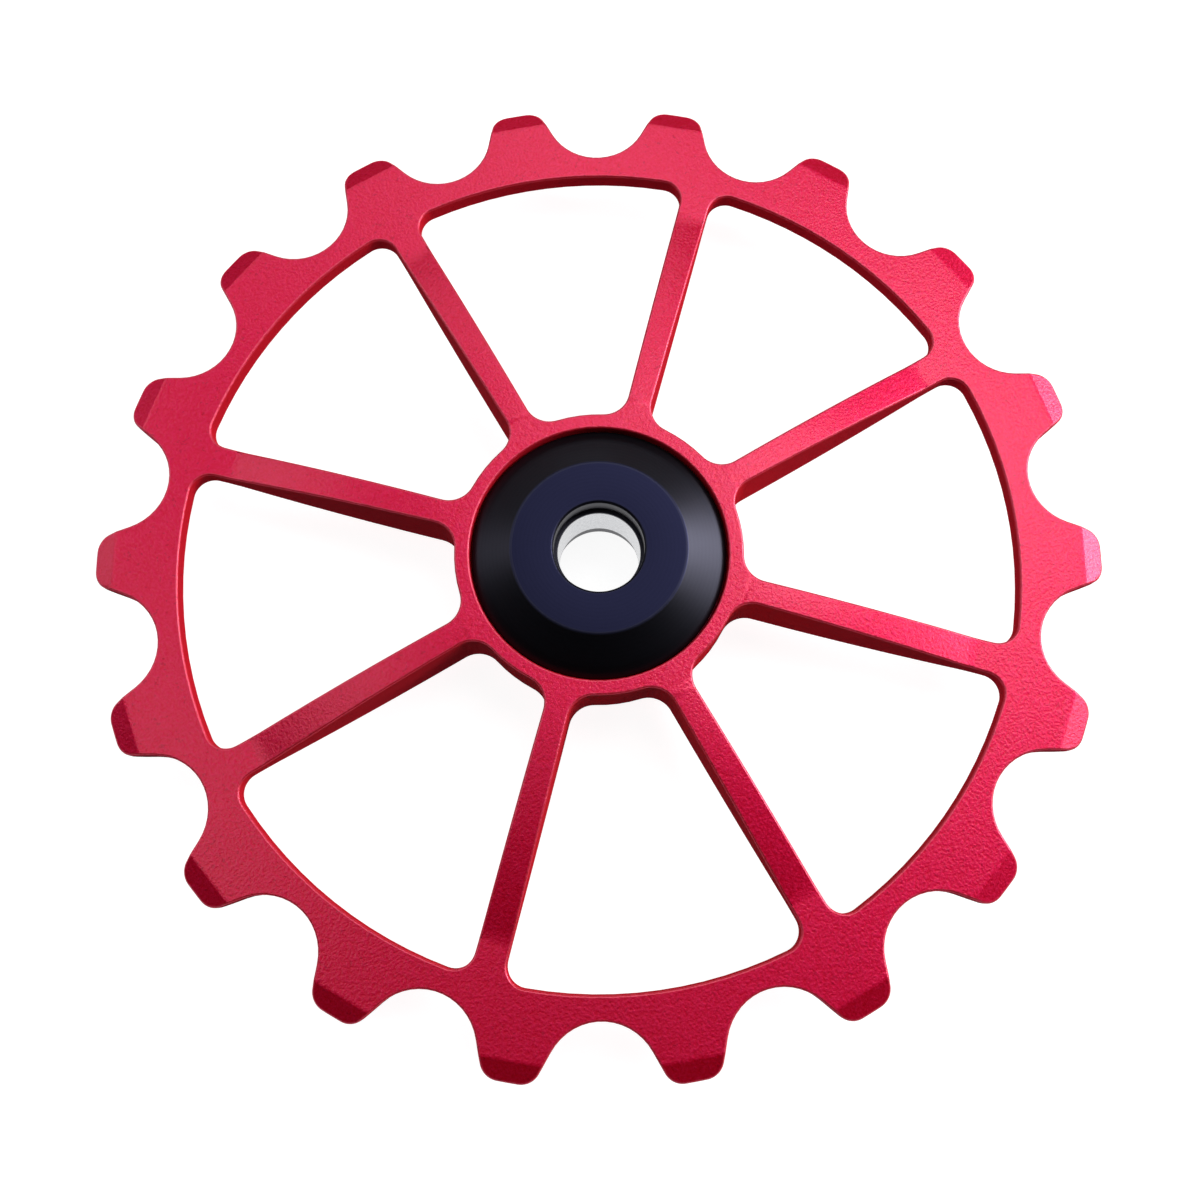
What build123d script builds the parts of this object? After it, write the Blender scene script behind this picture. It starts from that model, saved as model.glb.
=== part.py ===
from build123d import *
import os
from math import atan, cos, degrees, pi, radians, sin, sqrt

# Chain and teeth
chain_pitch = 12.7
tooth_count = 18
roller_seat_radius = 4.0
seat_half_angle = 60.0
tip_height = 0.55
tip_corner_radius = 1.4
tip_thickness = 0.4
tip_bevel_length = 1.5

# Wheel plate
rim_thickness = 1.5
rim_wall = 1.7
rim_land = 2.9
spoke_count = 8
spoke_width_hub = 1.75
spoke_width_rim = 2.35
window_corner_hub = 1.9
window_corner_rim = 1.5
hub_wall = 1.1
hub_thickness = 5.4

# Sealed ball bearing; the shares are of the gap from bore to rim or of the ball's diameter
bearing_bore = 6.0
bearing_diameter = 12.0
bearing_width = 4.0
ball_count = 7
ball_gap_share = 2 / 3
race_radius_share = 0.52
race_depth_share = 0.15
race_clearance = 0.01
seal_thickness = 0.3
seal_inset = 0.2
seal_seat_depth = 0.2
seal_lip_gap = 0.05
retainer_clearance = 0.25
retainer_web = 0.15
prong_share = 0.32
pocket_clearance = 0.06

# Caps
overall_width = 8.0
counterbore_diameter = 6.5
counterbore_chamfer = 0.15
cap_seat_thickness = 0.2
cap_diameter = 18.4
cap_face_diameter = 12.6
cap_sink = 0.5
cap_lip_width = 1.1
cap_lip_height = 0.8
cap_running_gap = 0.15
cap_end_gap = 0.1

# Sizes that follow from the chain and the teeth
pitch_radius = chain_pitch / (2 * sin(pi / tooth_count))
root_radius = pitch_radius - roller_seat_radius
tip_radius = pitch_radius + tip_height
bevel_start_radius = tip_radius - tip_bevel_length
bevel_slope = 2 * tip_bevel_length / (rim_thickness - tip_thickness)
window_outer_radius = root_radius - rim_wall
crown_end_radius = window_outer_radius - rim_land

# Sizes that follow from the caps and the bearing
cap_radius = cap_diameter / 2
cap_edge_height = hub_thickness / 2 - cap_sink
cap_lip_bottom = cap_edge_height - cap_lip_height
cap_lip_inner_radius = cap_radius - cap_lip_width
groove_outer_radius = cap_radius + cap_running_gap
groove_inner_radius = cap_lip_inner_radius - cap_running_gap
groove_floor = cap_lip_bottom - cap_end_gap
hub_radius = groove_outer_radius + hub_wall
ball_diameter = ball_gap_share * (bearing_diameter - bearing_bore) / 2
ball_radius = ball_diameter / 2
ball_circle_radius = (bearing_bore + bearing_diameter) / 4
outer_land_radius = ball_circle_radius + ball_radius - race_depth_share * ball_diameter
inner_land_radius = ball_circle_radius - ball_radius + race_depth_share * ball_diameter
seal_outer_radius = outer_land_radius + seal_seat_depth
seal_top = bearing_width / 2 - seal_inset
seal_bottom = seal_top - seal_thickness


def turned(outline):
    """Solid of revolution about Z from a closed outline, drawn with radius along X and height along Y."""
    return revolve(Plane.XZ * make_face(outline.edges()), Axis.Z)


def both_sides(upper):
    """Closed outline of a section that is the same below the middle plane, from its upper line."""
    lower = mirror(upper, Plane.XZ)
    return upper + lower + Line(upper @ 0, lower @ 0) + Line(upper @ 1, lower @ 1)


def around(shape, count):
    """Copies of a shape, evenly spaced about Z."""
    return [Rot(0, 0, 360 * k / count) * shape for k in range(count)]


def tooth_gap_edges():
    """One period of the toothed outline: a roller seat on +X, its two flanks and the next tooth's tip."""
    half_angle = radians(seat_half_angle)
    seat_bottom = Vector(root_radius, 0)
    flank_start = Vector(pitch_radius, 0) - Vector(cos(half_angle), -sin(half_angle)) * roller_seat_radius
    along = Vector(sin(half_angle), cos(half_angle))
    into_tooth = Vector(-cos(half_angle), sin(half_angle))

    # The tip's corner arc touches the flank and, from inside, the tip circle
    offset_start = flank_start + into_tooth * tip_corner_radius
    reach = offset_start.dot(along)
    corner_circle = tip_radius - tip_corner_radius
    flank_length = sqrt(reach**2 - offset_start.dot(offset_start) + corner_circle**2) - reach
    corner_center = offset_start + along * flank_length
    flank_end = flank_start + along * flank_length
    corner_end = corner_center.normalized() * tip_radius
    to_corner_middle = (corner_center.normalized() - into_tooth).normalized()
    corner_middle = corner_center + to_corner_middle * tip_corner_radius
    tip_middle = Vector(tip_radius, 0).rotate(Axis.Z, 180 / tooth_count)

    upper = [Line(flank_start, flank_end), ThreePointArc(flank_end, corner_middle, corner_end)]
    lower = [mirror(edge, Plane.XZ) for edge in upper]
    seat = ThreePointArc(flank_start, seat_bottom, Vector(flank_start.X, -flank_start.Y))
    next_corner = Vector(corner_end.X, -corner_end.Y).rotate(Axis.Z, 360 / tooth_count)
    tip = ThreePointArc(corner_end, tip_middle, next_corner)
    return [*lower, seat, *upper, tip]


def spoke_windows():
    """The openings between rim, hub and spokes, with rounded corners."""
    width_slope = (spoke_width_rim - spoke_width_hub) / (window_outer_radius - hub_radius)
    half_inner = (spoke_width_hub - width_slope * hub_radius) / 2
    half_outer = spoke_width_rim / 2
    spoke = make_face(Polyline(
        (0, -half_inner),
        (window_outer_radius, -half_outer),
        (window_outer_radius, half_outer),
        (0, half_inner),
        close=True,
    ))
    openings = Circle(window_outer_radius) - Circle(hub_radius) - around(spoke, spoke_count)
    rounded = []
    for opening in openings.faces():
        hub_corners = opening.vertices().sort_by_distance((0, 0, 0))[:2]
        opening = opening.fillet_2d(window_corner_hub, hub_corners)
        rim_corners = opening.vertices().sort_by_distance((0, 0, 0))[-2:]
        rounded.append(opening.fillet_2d(window_corner_rim, rim_corners))
    return rounded


def wheel_section():
    """Section through the wheel's blank: bearing seat, a groove for each cap and flat faces."""
    return both_sides(Polyline(
        (bearing_diameter / 2, bearing_width / 2),
        (groove_inner_radius, bearing_width / 2),
        (groove_inner_radius, groove_floor),
        (groove_outer_radius, groove_floor),
        (groove_outer_radius, hub_thickness / 2),
        (tip_radius, hub_thickness / 2),
    ))


def spoke_crown():
    """Slab with the side view of two opposite spokes: crowned down from the hub's face to the flat rim."""
    hub = Line((0, hub_thickness / 2), (hub_radius, hub_thickness / 2))
    crown = TangentArc(hub @ 1, (crown_end_radius, rim_thickness / 2), tangent=hub % 1)
    rim = Line(crown @ 1, (tip_radius, rim_thickness / 2))
    half = make_face(both_sides(hub + crown + rim).edges())
    return extrude(Plane.XZ * (half + mirror(half, Plane.YZ)), tip_radius, both=True)


def tooth_bevels():
    """Polygonal double cone whose flat sides bevel both faces of each tooth's tip."""
    middle_radius = bevel_start_radius + bevel_slope * rim_thickness / 2
    middle = RegularPolygon(middle_radius, tooth_count, major_radius=False)
    upper = extrude(middle, hub_thickness / 2, taper=degrees(atan(bevel_slope)))
    return upper + mirror(upper, Plane.XY)


def pulley_wheel():
    """Toothed plate with crowned spokes and bevelled tooth tips, cut from one piece."""
    period = tooth_gap_edges()
    outline = [edge for edges in zip(*(around(edge, tooth_count) for edge in period)) for edge in edges]
    plan = make_face(outline) - spoke_windows()
    wheel = extrude(plan, hub_thickness / 2, both=True) & turned(wheel_section())
    for crown in around(spoke_crown(), spoke_count)[:spoke_count // 2]:
        wheel = wheel & crown
    return wheel & tooth_bevels()


def front_cap():
    """Turned cap: counterbored face, cone, lip that runs in the hub's groove and seat on the inner ring."""
    counterbore_radius = counterbore_diameter / 2
    seat_top = bearing_width / 2 + cap_seat_thickness
    face = overall_width / 2
    return turned(Polyline(
        (bearing_bore / 2, bearing_width / 2),
        (bearing_bore / 2, seat_top),
        (counterbore_radius, seat_top),
        (counterbore_radius, face - counterbore_chamfer),
        (counterbore_radius + counterbore_chamfer, face),
        (cap_face_diameter / 2, face),
        (cap_radius, cap_edge_height),
        (cap_radius, cap_lip_bottom),
        (cap_lip_inner_radius, cap_lip_bottom),
        (cap_lip_inner_radius, bearing_width / 2 + cap_end_gap),
        (inner_land_radius, bearing_width / 2 + cap_end_gap),
        (inner_land_radius, bearing_width / 2),
        close=True,
    ))


def race_groove(bottom_radius, side):
    """Ring-shaped cutter of the ball track; side is 1 for the outer ring and -1 for the inner."""
    race_radius = race_radius_share * ball_diameter
    return turned(Pos(bottom_radius - side * race_radius, 0) * Circle(race_radius))


def bearing_outer_ring():
    """Outer ring with its ball track and a step for each seal."""
    blank = turned(both_sides(Polyline(
        (outer_land_radius, seal_bottom),
        (seal_outer_radius, seal_bottom),
        (seal_outer_radius, bearing_width / 2),
        (bearing_diameter / 2, bearing_width / 2),
    )))
    return blank - race_groove(ball_circle_radius + ball_radius + race_clearance, 1)


def bearing_inner_ring():
    """Inner ring with its ball track."""
    blank = turned(both_sides(Polyline(
        (inner_land_radius, bearing_width / 2),
        (bearing_bore / 2, bearing_width / 2),
    )))
    return blank - race_groove(ball_circle_radius - ball_radius - race_clearance, -1)


def front_seal():
    """Flat lip seal, seated on the outer ring's step and just clear of the inner ring."""
    lip_radius = inner_land_radius + seal_lip_gap
    return turned(Polyline(
        (lip_radius, seal_bottom),
        (lip_radius, seal_top),
        (seal_outer_radius, seal_top),
        (seal_outer_radius, seal_bottom),
        close=True,
    ))


def ball_retainer():
    """Crown ring with a round pocket for each ball, closed past the ball's middle so that it snaps in."""
    pocket_radius = ball_radius + pocket_clearance
    crown_height = pocket_radius + retainer_web
    prong_height = prong_share * ball_diameter
    ring = turned(Polyline(
        (inner_land_radius + retainer_clearance, -prong_height),
        (inner_land_radius + retainer_clearance, crown_height),
        (outer_land_radius - retainer_clearance, crown_height),
        (outer_land_radius - retainer_clearance, -prong_height),
        close=True,
    ))
    pocket = Pos(ball_circle_radius, 0, 0) * Rot(0, 90, 0) * Cylinder(pocket_radius, ball_diameter)
    return ring - around(pocket, ball_count)


def build_parts():
    """Every piece but the bearing's balls, by name and at its place in the assembled wheel."""
    return {
        "pulley_wheel": pulley_wheel(),
        "front_cap": front_cap(),
        "rear_cap": mirror(front_cap(), Plane.XY),
        "bearing_outer_ring": bearing_outer_ring(),
        "bearing_inner_ring": bearing_inner_ring(),
        "ball_retainer": ball_retainer(),
        "front_seal": front_seal(),
        "rear_seal": mirror(front_seal(), Plane.XY),
    }


os.makedirs("parts", exist_ok=True)
for name, part in build_parts().items():
    export_step(part, f"parts/{name}.step")
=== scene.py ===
from math import cos, pi, radians, sin

import bmesh
import bpy
from mathutils import Matrix, Vector


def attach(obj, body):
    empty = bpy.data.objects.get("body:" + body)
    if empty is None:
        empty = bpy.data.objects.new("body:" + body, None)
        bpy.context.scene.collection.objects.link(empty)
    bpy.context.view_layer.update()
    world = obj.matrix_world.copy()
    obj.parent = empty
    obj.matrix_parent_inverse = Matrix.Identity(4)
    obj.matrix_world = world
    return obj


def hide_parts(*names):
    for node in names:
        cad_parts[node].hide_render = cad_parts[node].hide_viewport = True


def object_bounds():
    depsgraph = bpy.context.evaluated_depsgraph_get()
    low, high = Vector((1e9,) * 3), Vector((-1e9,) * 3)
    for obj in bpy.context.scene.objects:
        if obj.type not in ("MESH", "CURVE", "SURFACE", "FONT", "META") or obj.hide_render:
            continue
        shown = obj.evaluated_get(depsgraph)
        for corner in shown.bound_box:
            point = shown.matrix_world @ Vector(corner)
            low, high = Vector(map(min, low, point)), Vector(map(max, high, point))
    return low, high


MM = 0.001

# Camera, in a frame turned about the axle so that X runs to the picture's right and Y up it
VIEW_TURN = radians(-30.32)
CAMERA_PLACE = Vector((0.07, -23.50, 93.16)) * MM
CAMERA_TILT = radians(12.4)
LENS = 38.95
SENSOR = 36.0
CLIP_START = 5 * MM

# Wheel: teeth, edge breaks and soft creases
TOOTH_COUNT = 18
ROOT_RADIUS = 32.57 * MM
BEVEL_START = 35.62 * MM
BEVEL_SOFTNESS = 0.15 * MM
CROWN_SOFTNESS = 0.6 * MM
EDGE_BREAK = 0.16 * MM
EDGE_STEPS = 3

# Limits that tell the wheel's doubled points, flats, creases and walls apart
WELD_DISTANCE = 0.001 * MM
FLAT_ANGLE = radians(0.3)
CREASE_ANGLE = radians(4)
WALL_NORMAL = 0.5

# Cap section: radius, height and corner rounding of each corner, in millimetres
CAP_SECTION = [
    (3.00, 2.00, 0.00),
    (3.00, 2.20, 0.04),
    (3.25, 2.20, 0.00),
    (3.25, 3.85, 0.04),
    (3.40, 4.00, 0.04),
    (6.30, 4.00, 0.12),
    (9.20, 2.20, 0.10),
    (9.20, 1.40, 0.10),
    (8.10, 1.40, 0.10),
    (8.10, 2.10, 0.00),
    (3.80, 2.10, 0.00),
    (3.80, 2.00, 0.00),
]
FACED_HEIGHT = 3.95 * MM
CORNER_STEPS = 5
CORNER_STRIP = 0.05 * MM
TURN_STEPS = 192
SHARP_ANGLE = radians(35)

# Bearing balls, a little small so that they clear the facets of the rings
BALL_COUNT = 7
BALL_RADIUS = 0.98 * MM
BALL_CIRCLE = 4.5 * MM
BALL_STEPS = 16

# Stage
FLOOR_SIZE = 3.0
FLOOR_TONE = 0.3
FLOOR_GLOW = 0.92
BACKDROP_HEIGHT = 0.1
FILL_LIGHT = 0.01
LIGHT_DISTANCE = 0.4
LIGHT_SIZE = 0.15

# Each light's name, degrees from straight above, degrees round from the picture's right, and watts
LIGHTS = [
    ("zenith", 0, 0, 0.020),
    ("key", 25, 45, 0.270),
    ("side", 65, 17, 0.620),
    ("side_back", 64, 28, 0.420),
    ("side_front", 61, 0, 0.310),
    ("right", 45, 5, 0.160),
    ("right_back", 45, 25, 0.110),
    ("top", 25, 90, 0.110),
    ("back", 45, 90, 0.110),
    ("back_left", 45, 120, 0.078),
    ("left", 45, 150, 0.120),
    ("left_high", 25, 180, 0.105),
    ("left_low", 66, 165, 0.113),
]

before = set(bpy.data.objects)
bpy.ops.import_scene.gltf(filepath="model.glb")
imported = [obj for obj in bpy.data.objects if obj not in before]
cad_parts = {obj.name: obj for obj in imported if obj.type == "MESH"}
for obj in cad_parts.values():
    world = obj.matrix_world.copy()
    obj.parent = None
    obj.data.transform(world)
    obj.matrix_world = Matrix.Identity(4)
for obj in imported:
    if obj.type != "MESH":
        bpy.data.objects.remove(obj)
cad_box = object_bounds()
to_view = Matrix.Rotation(VIEW_TURN, 4, "Z")


class Nodes:
    """A material's or world's node tree, with short calls to add and join nodes."""

    def __init__(self, owner):
        owner.use_nodes = True
        self.tree = owner.node_tree
        self.tree.nodes.clear()

    def add(self, kind, settings=None, **inputs):
        """A node of a kind; an input is a value, or an output socket to join to it."""
        node = self.tree.nodes.new(kind)
        for name, value in (settings or {}).items():
            setattr(node, name, value)
        for name, value in inputs.items():
            self.put(node.inputs[name.replace("_", " ")], value)
        return node

    def put(self, socket, value):
        if isinstance(value, bpy.types.NodeSocket):
            self.tree.links.new(value, socket)
        else:
            socket.default_value = value

    def math(self, operation, first, second=0.0):
        node = self.add("ShaderNodeMath", {"operation": operation})
        self.put(node.inputs[0], first)
        self.put(node.inputs[1], second)
        return node.outputs[0]

    def between(self, factor, first, second):
        """Number that runs from the first to the second as a factor runs from 0 to 1."""
        return self.math("ADD", self.math("MULTIPLY", factor, second - first), first)

    def mix(self, factor, first, second, blend="MIX"):
        """Two colours blended by a factor."""
        node = self.add("ShaderNodeMixRGB", {"blend_type": blend}, Fac=factor)
        self.put(node.inputs[1], first)
        self.put(node.inputs[2], second)
        return node.outputs[0]

    def mix_shaders(self, factor, first, second):
        """Two shaders mixed by a factor."""
        node = self.add("ShaderNodeMixShader", Fac=factor)
        self.put(node.inputs[1], first.outputs[0])
        self.put(node.inputs[2], second.outputs[0])
        return node

    def ramp(self, factor, stops):
        """Colour ramp through (place, colour) stops."""
        node = self.add("ShaderNodeValToRGB", Fac=factor)
        elements = node.color_ramp.elements
        while len(elements) < len(stops):
            elements.new(0.5)
        for element, (place, colour) in zip(elements, stops):
            element.position = place
            element.color = (*colour, 1)
        return node.outputs["Color"]

    def noise(self, where, size, detail=2.0):
        """Noise whose lumps are about a size across."""
        return self.add("ShaderNodeTexNoise", Vector=where, Scale=1 / size, Detail=detail).outputs["Fac"]

    def bump(self, height, strength, distance):
        node = self.add("ShaderNodeBump", Strength=strength, Distance=distance, Height=height)
        return node.outputs["Normal"]

    def face_layer(self, name):
        """A mesh's own number for each face; 0 where the mesh has none."""
        return self.add("ShaderNodeAttribute", {"attribute_name": name}).outputs["Fac"]

    def background_rays(self, mirrored=1.0):
        """1 on rays from the camera, and a share of it on rays that metal or glass has sent on."""
        path = self.add("ShaderNodeLightPath").outputs
        sent_on = self.math("MAXIMUM", path["Is Glossy Ray"], path["Is Transmission Ray"])
        return self.math("MAXIMUM", path["Is Camera Ray"], self.math("MULTIPLY", sent_on, mirrored))

    def finish(self, shader, output="ShaderNodeOutputMaterial"):
        self.put(self.add(output).inputs["Surface"], shader.outputs[0])


def start_material(name):
    """New material, its nodes and the place on the object that its textures follow."""
    material = bpy.data.materials.new(name)
    nodes = Nodes(material)
    return material, nodes, nodes.add("ShaderNodeTexCoord").outputs["Object"]


def red_anodised():
    """Blasted red anodised aluminium: pink sheen over deep red dye, pale on worn edges; walls get painted
    shade, a dull mix with little sheen that keeps them dark.
    """
    material, nodes, where = start_material("red_anodised")
    worn = nodes.face_layer("worn")
    wall = nodes.face_layer("wall")

    # Colours, darker in blasting pits and a little uneven over the wheel
    grain = nodes.noise(where, 0.20 * MM, 3.0)
    pits = nodes.ramp(nodes.noise(where, 0.30 * MM, 1.0), [(0.26, (0.78, 0.78, 0.78)), (0.34, (1, 1, 1))])
    patches = nodes.ramp(nodes.noise(where, 9 * MM, 3.0), [(0.3, (0.96, 0.96, 0.96)), (0.7, (1, 1, 1))])
    shade = nodes.mix(1.0, patches, pits, "MULTIPLY")
    sheen = nodes.ramp(grain, [(0.3, (0.85, 0.002, 0.075)), (0.7, (0.97, 0.020, 0.165))])
    sheen = nodes.mix(nodes.between(worn, 0.0, 0.15), sheen, (0.95, 0.52, 0.62, 1))
    sheen = nodes.mix(1.0, sheen, shade, "MULTIPLY")
    # Painted shade: walls take a dye of their own, set so that with little sheen they render dark red
    dye = nodes.mix(wall, (0.44, 0.0, 0.002, 1), (0.58, 0.010, 0.022, 1))
    dye = nodes.mix(1.0, dye, shade, "MULTIPLY")

    # Metal and dye, under a thin clear oxide film
    bump = nodes.bump(grain, 1.0, 0.028 * MM)
    metal = nodes.add("ShaderNodeBsdfPrincipled", Base_Color=sheen, Metallic=1.0,
                      Roughness=nodes.between(grain, 0.37, 0.53), Normal=bump)
    dyed = nodes.add("ShaderNodeBsdfPrincipled", Base_Color=dye, Specular_IOR_Level=0.0, Roughness=0.6,
                     Normal=bump)
    # Painted shade: the more a face turns to the side, the less metal sheen and oxide film it shows, so
    # walls stay dark instead of reflecting the white floor
    skin = nodes.mix_shaders(nodes.between(wall, 0.5, 0.97), metal, dyed)
    film = nodes.add("ShaderNodeBsdfGlossy", Color=(1, 1, 1, 1), Roughness=0.22, Normal=bump)
    nodes.finish(nodes.mix_shaders(nodes.between(wall, 0.025, 0.001), skin, film))
    return material


def black_turned():
    """Black anodised aluminium: navy on the cap's face, blacker on its cone, with a lathe tool's rings."""
    material, nodes, where = start_material("black_turned")
    worn = nodes.face_layer("worn")
    height = nodes.add("ShaderNodeSeparateXYZ", Vector=where).outputs["Z"]
    faced = nodes.math("GREATER_THAN", nodes.math("ABSOLUTE", height), FACED_HEIGHT)
    rings = nodes.add("ShaderNodeTexWave", {"wave_type": "RINGS", "rings_direction": "Z"}, Vector=where,
                      Scale=1 / (0.9 * MM), Distortion=0.6, Detail=2.0).outputs["Fac"]
    tint = nodes.mix(faced, (0.026, 0.026, 0.035, 1), (0.017, 0.018, 0.046, 1))
    shade = nodes.ramp(rings, [(0.0, (0.95, 0.95, 0.95)), (1.0, (1.0, 1.0, 1.0))])
    tint = nodes.mix(1.0, tint, shade, "MULTIPLY")
    tint = nodes.mix(nodes.between(worn, 0.0, 0.12), tint, (0.10, 0.10, 0.12, 1))
    nodes.finish(nodes.add("ShaderNodeBsdfPrincipled", Base_Color=tint, Metallic=1.0,
                           Roughness=nodes.between(faced, 0.38, 0.44),
                           Normal=nodes.bump(rings, 0.15, 0.006 * MM)))
    return material


def bearing_steel():
    """Ground and polished bearing steel."""
    material, nodes, where = start_material("bearing_steel")
    grinding = nodes.noise(where, 0.2 * MM, 4.0)
    tint = nodes.ramp(grinding, [(0.3, (0.55, 0.56, 0.58)), (0.7, (0.68, 0.69, 0.71))])
    nodes.finish(nodes.add("ShaderNodeBsdfPrincipled", Base_Color=tint, Metallic=1.0, Roughness=0.22,
                           Normal=nodes.bump(grinding, 0.2, 0.002 * MM)))
    return material


def seal_rubber():
    """Moulded black nitrile rubber."""
    material, nodes, where = start_material("seal_rubber")
    grain = nodes.noise(where, 0.15 * MM)
    tint = nodes.ramp(grain, [(0.3, (0.012, 0.012, 0.012)), (0.7, (0.022, 0.022, 0.022))])
    nodes.finish(nodes.add("ShaderNodeBsdfPrincipled", Base_Color=tint, Roughness=0.6,
                           Normal=nodes.bump(grain, 0.3, 0.01 * MM)))
    return material


def natural_nylon():
    """Moulded natural nylon, a little translucent."""
    material, nodes, where = start_material("natural_nylon")
    tint = nodes.ramp(nodes.noise(where, 1.5 * MM), [(0.3, (0.72, 0.68, 0.56)), (0.7, (0.80, 0.76, 0.64))])
    nodes.finish(nodes.add("ShaderNodeBsdfPrincipled", Base_Color=tint, Roughness=0.42,
                           Subsurface_Weight=0.2, Subsurface_Radius=(0.4 * MM, 0.35 * MM, 0.25 * MM),
                           Normal=nodes.bump(nodes.noise(where, 0.2 * MM), 0.2, 0.01 * MM)))
    return material


def add_piece(name, mesh, material, body):
    """Object from a finished bmesh, riding on a body."""
    data = bpy.data.meshes.new(name)
    mesh.to_mesh(data)
    mesh.free()
    data.materials.append(material)
    piece = bpy.data.objects.new(name, data)
    bpy.context.collection.objects.link(piece)
    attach(piece, body)
    return piece


def weigh_normals(piece):
    """Keeps flat faces flat next to their narrow edge breaks."""
    normals = piece.modifiers.new("normals", "WEIGHTED_NORMAL")
    normals.keep_sharp = True
    normals.weight = 100


def is_wall(face):
    return abs(face.normal.z) < WALL_NORMAL


def wheel_corners(mesh):
    """The wheel's edges between a face and a wall."""
    pairs = [edge for edge in mesh.edges if len(edge.link_faces) == 2]
    return [edge for edge in pairs if is_wall(edge.link_faces[0]) != is_wall(edge.link_faces[1])]


def crown_ends(mesh):
    """The creases where the spokes' crowns meet the flat rim."""
    faced = [edge for edge in mesh.edges if not any(is_wall(face) for face in edge.link_faces)]
    inner = [edge for edge in faced if edge.verts[0].co.xy.length < ROOT_RADIUS]
    return [edge for edge in inner if edge.calc_face_angle(0) > CREASE_ANGLE]


def round_edges(mesh, edges, reach):
    """Rounds edges over a reach on both sides, and gives the faces that do it."""
    return bmesh.ops.bevel(mesh, geom=edges, offset=reach, segments=EDGE_STEPS, profile=0.5,
                           affect="EDGES")["faces"]


def cut_beside_bevels(mesh):
    """Cuts on both sides of each tooth's bevel crease, so that it shades softly and the flats stay flat."""
    for k in range(TOOTH_COUNT):
        turn = 2 * pi * (k + 0.5) / TOOTH_COUNT
        outward = Vector((cos(turn), sin(turn), 0))
        for reach in (BEVEL_START - BEVEL_SOFTNESS, BEVEL_START + BEVEL_SOFTNESS):
            everything = mesh.verts[:] + mesh.edges[:] + mesh.faces[:]
            bmesh.ops.bisect_plane(mesh, geom=everything, dist=WELD_DISTANCE, plane_co=outward * reach,
                                   plane_no=outward)


def finished_wheel(material):
    """The wheel with soft creases and broken corners; each face notes how far it is worn and how far it
    turns to the side, which the red material uses to paint shade on walls.
    """
    mesh = bmesh.new()
    mesh.from_mesh(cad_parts["pulley_wheel"].data)
    bmesh.ops.remove_doubles(mesh, verts=mesh.verts, dist=WELD_DISTANCE)
    bmesh.ops.dissolve_limit(mesh, angle_limit=FLAT_ANGLE, verts=mesh.verts, edges=mesh.edges)
    round_edges(mesh, crown_ends(mesh), CROWN_SOFTNESS)
    cut_beside_bevels(mesh)
    worn = mesh.faces.layers.float.new("worn")
    for face in round_edges(mesh, wheel_corners(mesh), EDGE_BREAK):
        face[worn] = 1.0
    wall = mesh.faces.layers.float.new("wall")
    for face in mesh.faces:
        face.smooth = True
        # How far the face turns to the side; the red material paints shade on walls from it
        face[wall] = 1 - abs(face.normal.z)
    piece = add_piece("wheel_finish", mesh, material, "wheel")
    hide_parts("pulley_wheel")
    weigh_normals(piece)


def rounded(section):
    """Points of a closed outline given as (radius, height, rounding) corners in millimetres."""
    points = []
    for k, (radius, height, rounding) in enumerate(section):
        corner = Vector((radius, height))
        before = (Vector(section[k - 1][:2]) - corner).normalized() * rounding
        after = (Vector(section[(k + 1) % len(section)][:2]) - corner).normalized() * rounding
        steps = CORNER_STEPS if rounding else 0
        for step in range(steps + 1):
            share = step / steps if steps else 0
            points.append((corner + before * (1 - share) ** 2 + after * share ** 2) * MM)
    return points


def turned_cap(name, node, material, flip):
    """Cap turned from its section, with its rounded corners worn; flip turns it over to the rear."""
    mesh = bmesh.new()
    ring = [mesh.verts.new((radius, 0, height)) for radius, height in rounded(CAP_SECTION)]
    sides = [mesh.edges.new(pair) for pair in zip(ring, ring[1:] + ring[:1])]
    bmesh.ops.spin(mesh, geom=ring + sides, axis=(0, 0, 1), angle=2 * pi, steps=TURN_STEPS, use_merge=True)
    bmesh.ops.recalc_face_normals(mesh, faces=mesh.faces)
    if flip:
        bmesh.ops.rotate(mesh, matrix=Matrix.Rotation(pi, 3, "X"), verts=mesh.verts)
    worn = mesh.faces.layers.float.new("worn")
    for face in mesh.faces:
        face.smooth = True
        face[worn] = min(edge.calc_length() for edge in face.edges) < CORNER_STRIP
    for edge in mesh.edges:
        edge.smooth = edge.calc_face_angle(0) < SHARP_ANGLE
    piece = add_piece(name, mesh, material, "axle_core")
    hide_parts(node)
    weigh_normals(piece)


def bearing_balls(material):
    """The balls, one in each pocket of the retainer."""
    for k in range(BALL_COUNT):
        turn = 2 * pi * k / BALL_COUNT
        place = Matrix.Translation((BALL_CIRCLE * cos(turn), BALL_CIRCLE * sin(turn), 0))
        mesh = bmesh.new()
        bmesh.ops.create_uvsphere(mesh, u_segments=2 * BALL_STEPS, v_segments=BALL_STEPS, radius=BALL_RADIUS,
                                  matrix=place)
        for face in mesh.faces:
            face.smooth = True
        add_piece(f"ball_{k + 1}", mesh, material, "retainer")


def make_floor(height):
    """Pale floor that the camera and metal see as white, with the wheel's soft shadow on it."""
    bpy.ops.mesh.primitive_plane_add(size=FLOOR_SIZE, location=(0, 0, height))
    floor = bpy.context.object
    floor.name = "floor"
    material = bpy.data.materials.new("floor_white")
    nodes = Nodes(material)
    matt = nodes.add("ShaderNodeBsdfDiffuse", Color=(FLOOR_TONE, FLOOR_TONE, FLOOR_TONE, 1))
    strength = nodes.math("MULTIPLY", nodes.background_rays(), FLOOR_GLOW)
    glow = nodes.add("ShaderNodeEmission", Color=(1, 1, 1, 1), Strength=strength)
    both = nodes.add("ShaderNodeAddShader")
    nodes.put(both.inputs[0], matt.outputs[0])
    nodes.put(both.inputs[1], glow.outputs[0])
    nodes.finish(both)
    floor.data.materials.append(material)


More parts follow.
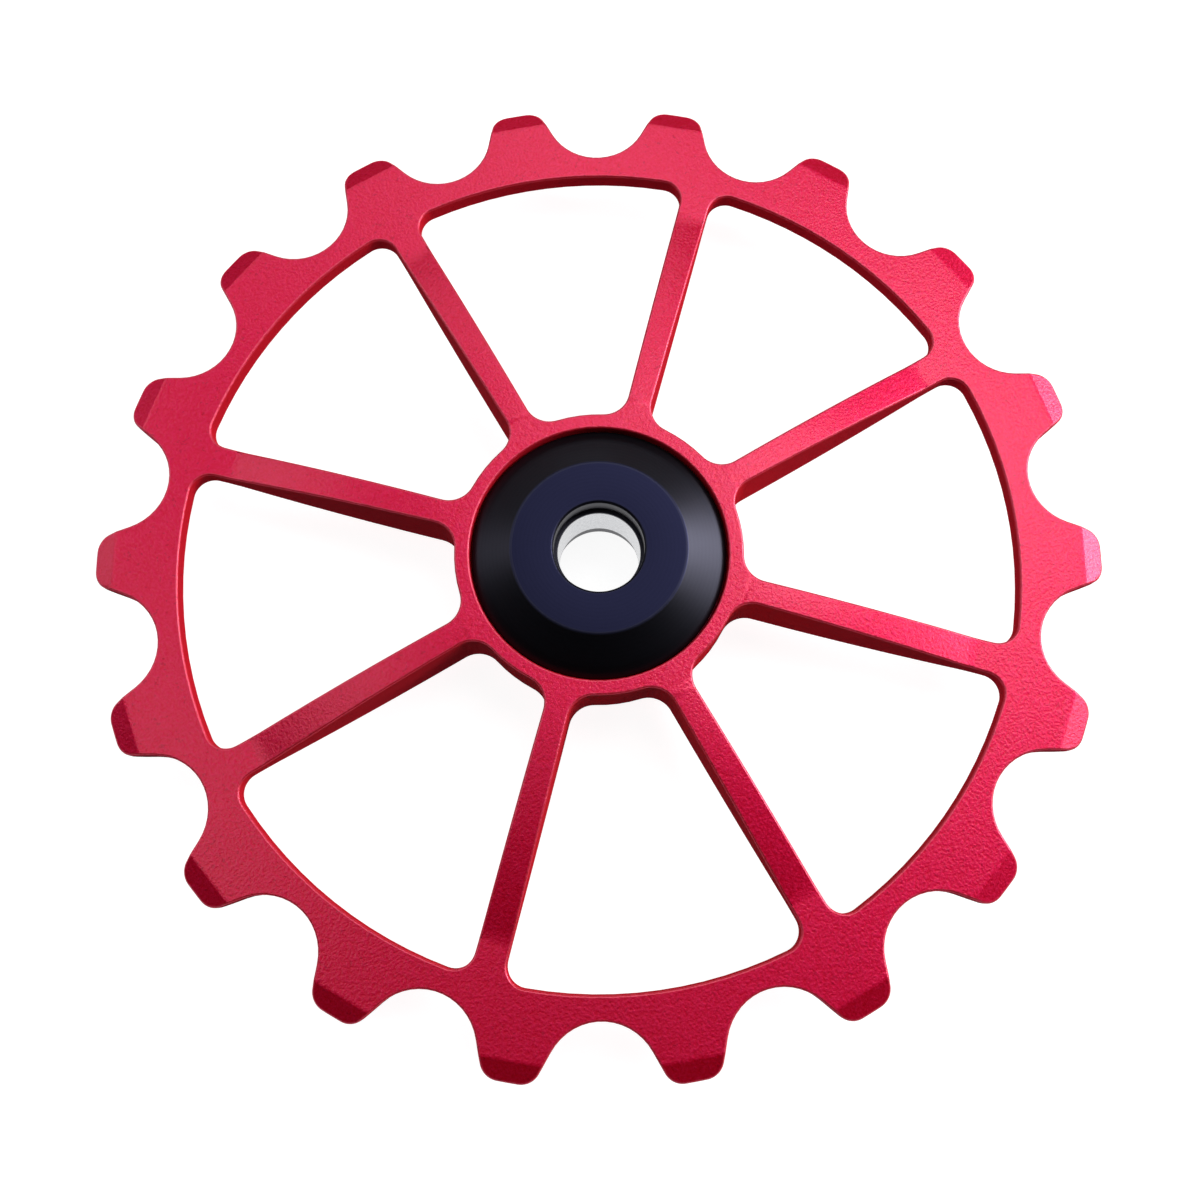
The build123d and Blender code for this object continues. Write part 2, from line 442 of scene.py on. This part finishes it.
def soft_light(name, lean, turn, power):
    """Round soft light aimed at the wheel, by its angles from straight above and round from the right."""
    light = bpy.data.lights.new(name, "AREA")
    light.shape = "DISK"
    light.size = LIGHT_SIZE
    light.energy = power
    lamp = bpy.data.objects.new(name, light)
    bpy.context.collection.objects.link(lamp)
    lean, turn = radians(lean), radians(turn)
    place = Vector((sin(lean) * cos(turn), sin(lean) * sin(turn), cos(lean))) * LIGHT_DISTANCE
    lamp.location = to_view @ place
    lamp.rotation_euler = (-lamp.location).to_track_quat("-Z", "Y").to_euler()


def make_world():
    """Dim fill light all round; the camera sees it as the floor's white, and so does metal low down."""
    world = bpy.data.worlds.new("studio")
    bpy.context.scene.world = world
    nodes = Nodes(world)
    direction = nodes.add("ShaderNodeTexCoord").outputs["Generated"]
    height = nodes.add("ShaderNodeSeparateXYZ", Vector=direction).outputs["Z"]
    low = nodes.math("LESS_THAN", height, BACKDROP_HEIGHT)
    strength = nodes.between(nodes.background_rays(low), FILL_LIGHT, FILL_LIGHT + FLOOR_GLOW)
    back = nodes.add("ShaderNodeBackground", Color=(1, 1, 1, 1), Strength=strength)
    nodes.finish(back, "ShaderNodeOutputWorld")


def make_camera():
    """Camera at the photograph's place, tilt and field of view."""
    data = bpy.data.cameras.new("camera")
    data.lens = LENS
    data.sensor_width = SENSOR
    data.clip_start = CLIP_START
    camera = bpy.data.objects.new("camera", data)
    bpy.context.collection.objects.link(camera)
    camera.location = to_view @ CAMERA_PLACE
    camera.rotation_euler = (CAMERA_TILT, 0, VIEW_TURN)
    bpy.context.scene.camera = camera


# Looks of each node
red = red_anodised()
black = black_turned()
steel = bearing_steel()
rubber = seal_rubber()
looks = {
    "pulley_wheel": red,
    "front_cap": black,
    "rear_cap": black,
    "bearing_outer_ring": steel,
    "bearing_inner_ring": steel,
    "ball_retainer": natural_nylon(),
    "front_seal": rubber,
    "rear_seal": rubber,
}
for name, look in looks.items():
    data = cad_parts[name].data
    data.materials.clear()
    data.materials.append(look)

# Pieces
finished_wheel(red)
turned_cap("front_cap_finish", "front_cap", black, flip=False)
turned_cap("rear_cap_finish", "rear_cap", black, flip=True)
bearing_balls(steel)

# Stage
make_floor(cad_box[0].z)
make_world()
for light in LIGHTS:
    soft_light(*light)
make_camera()
bpy.context.scene.view_settings.view_transform = "Standard"
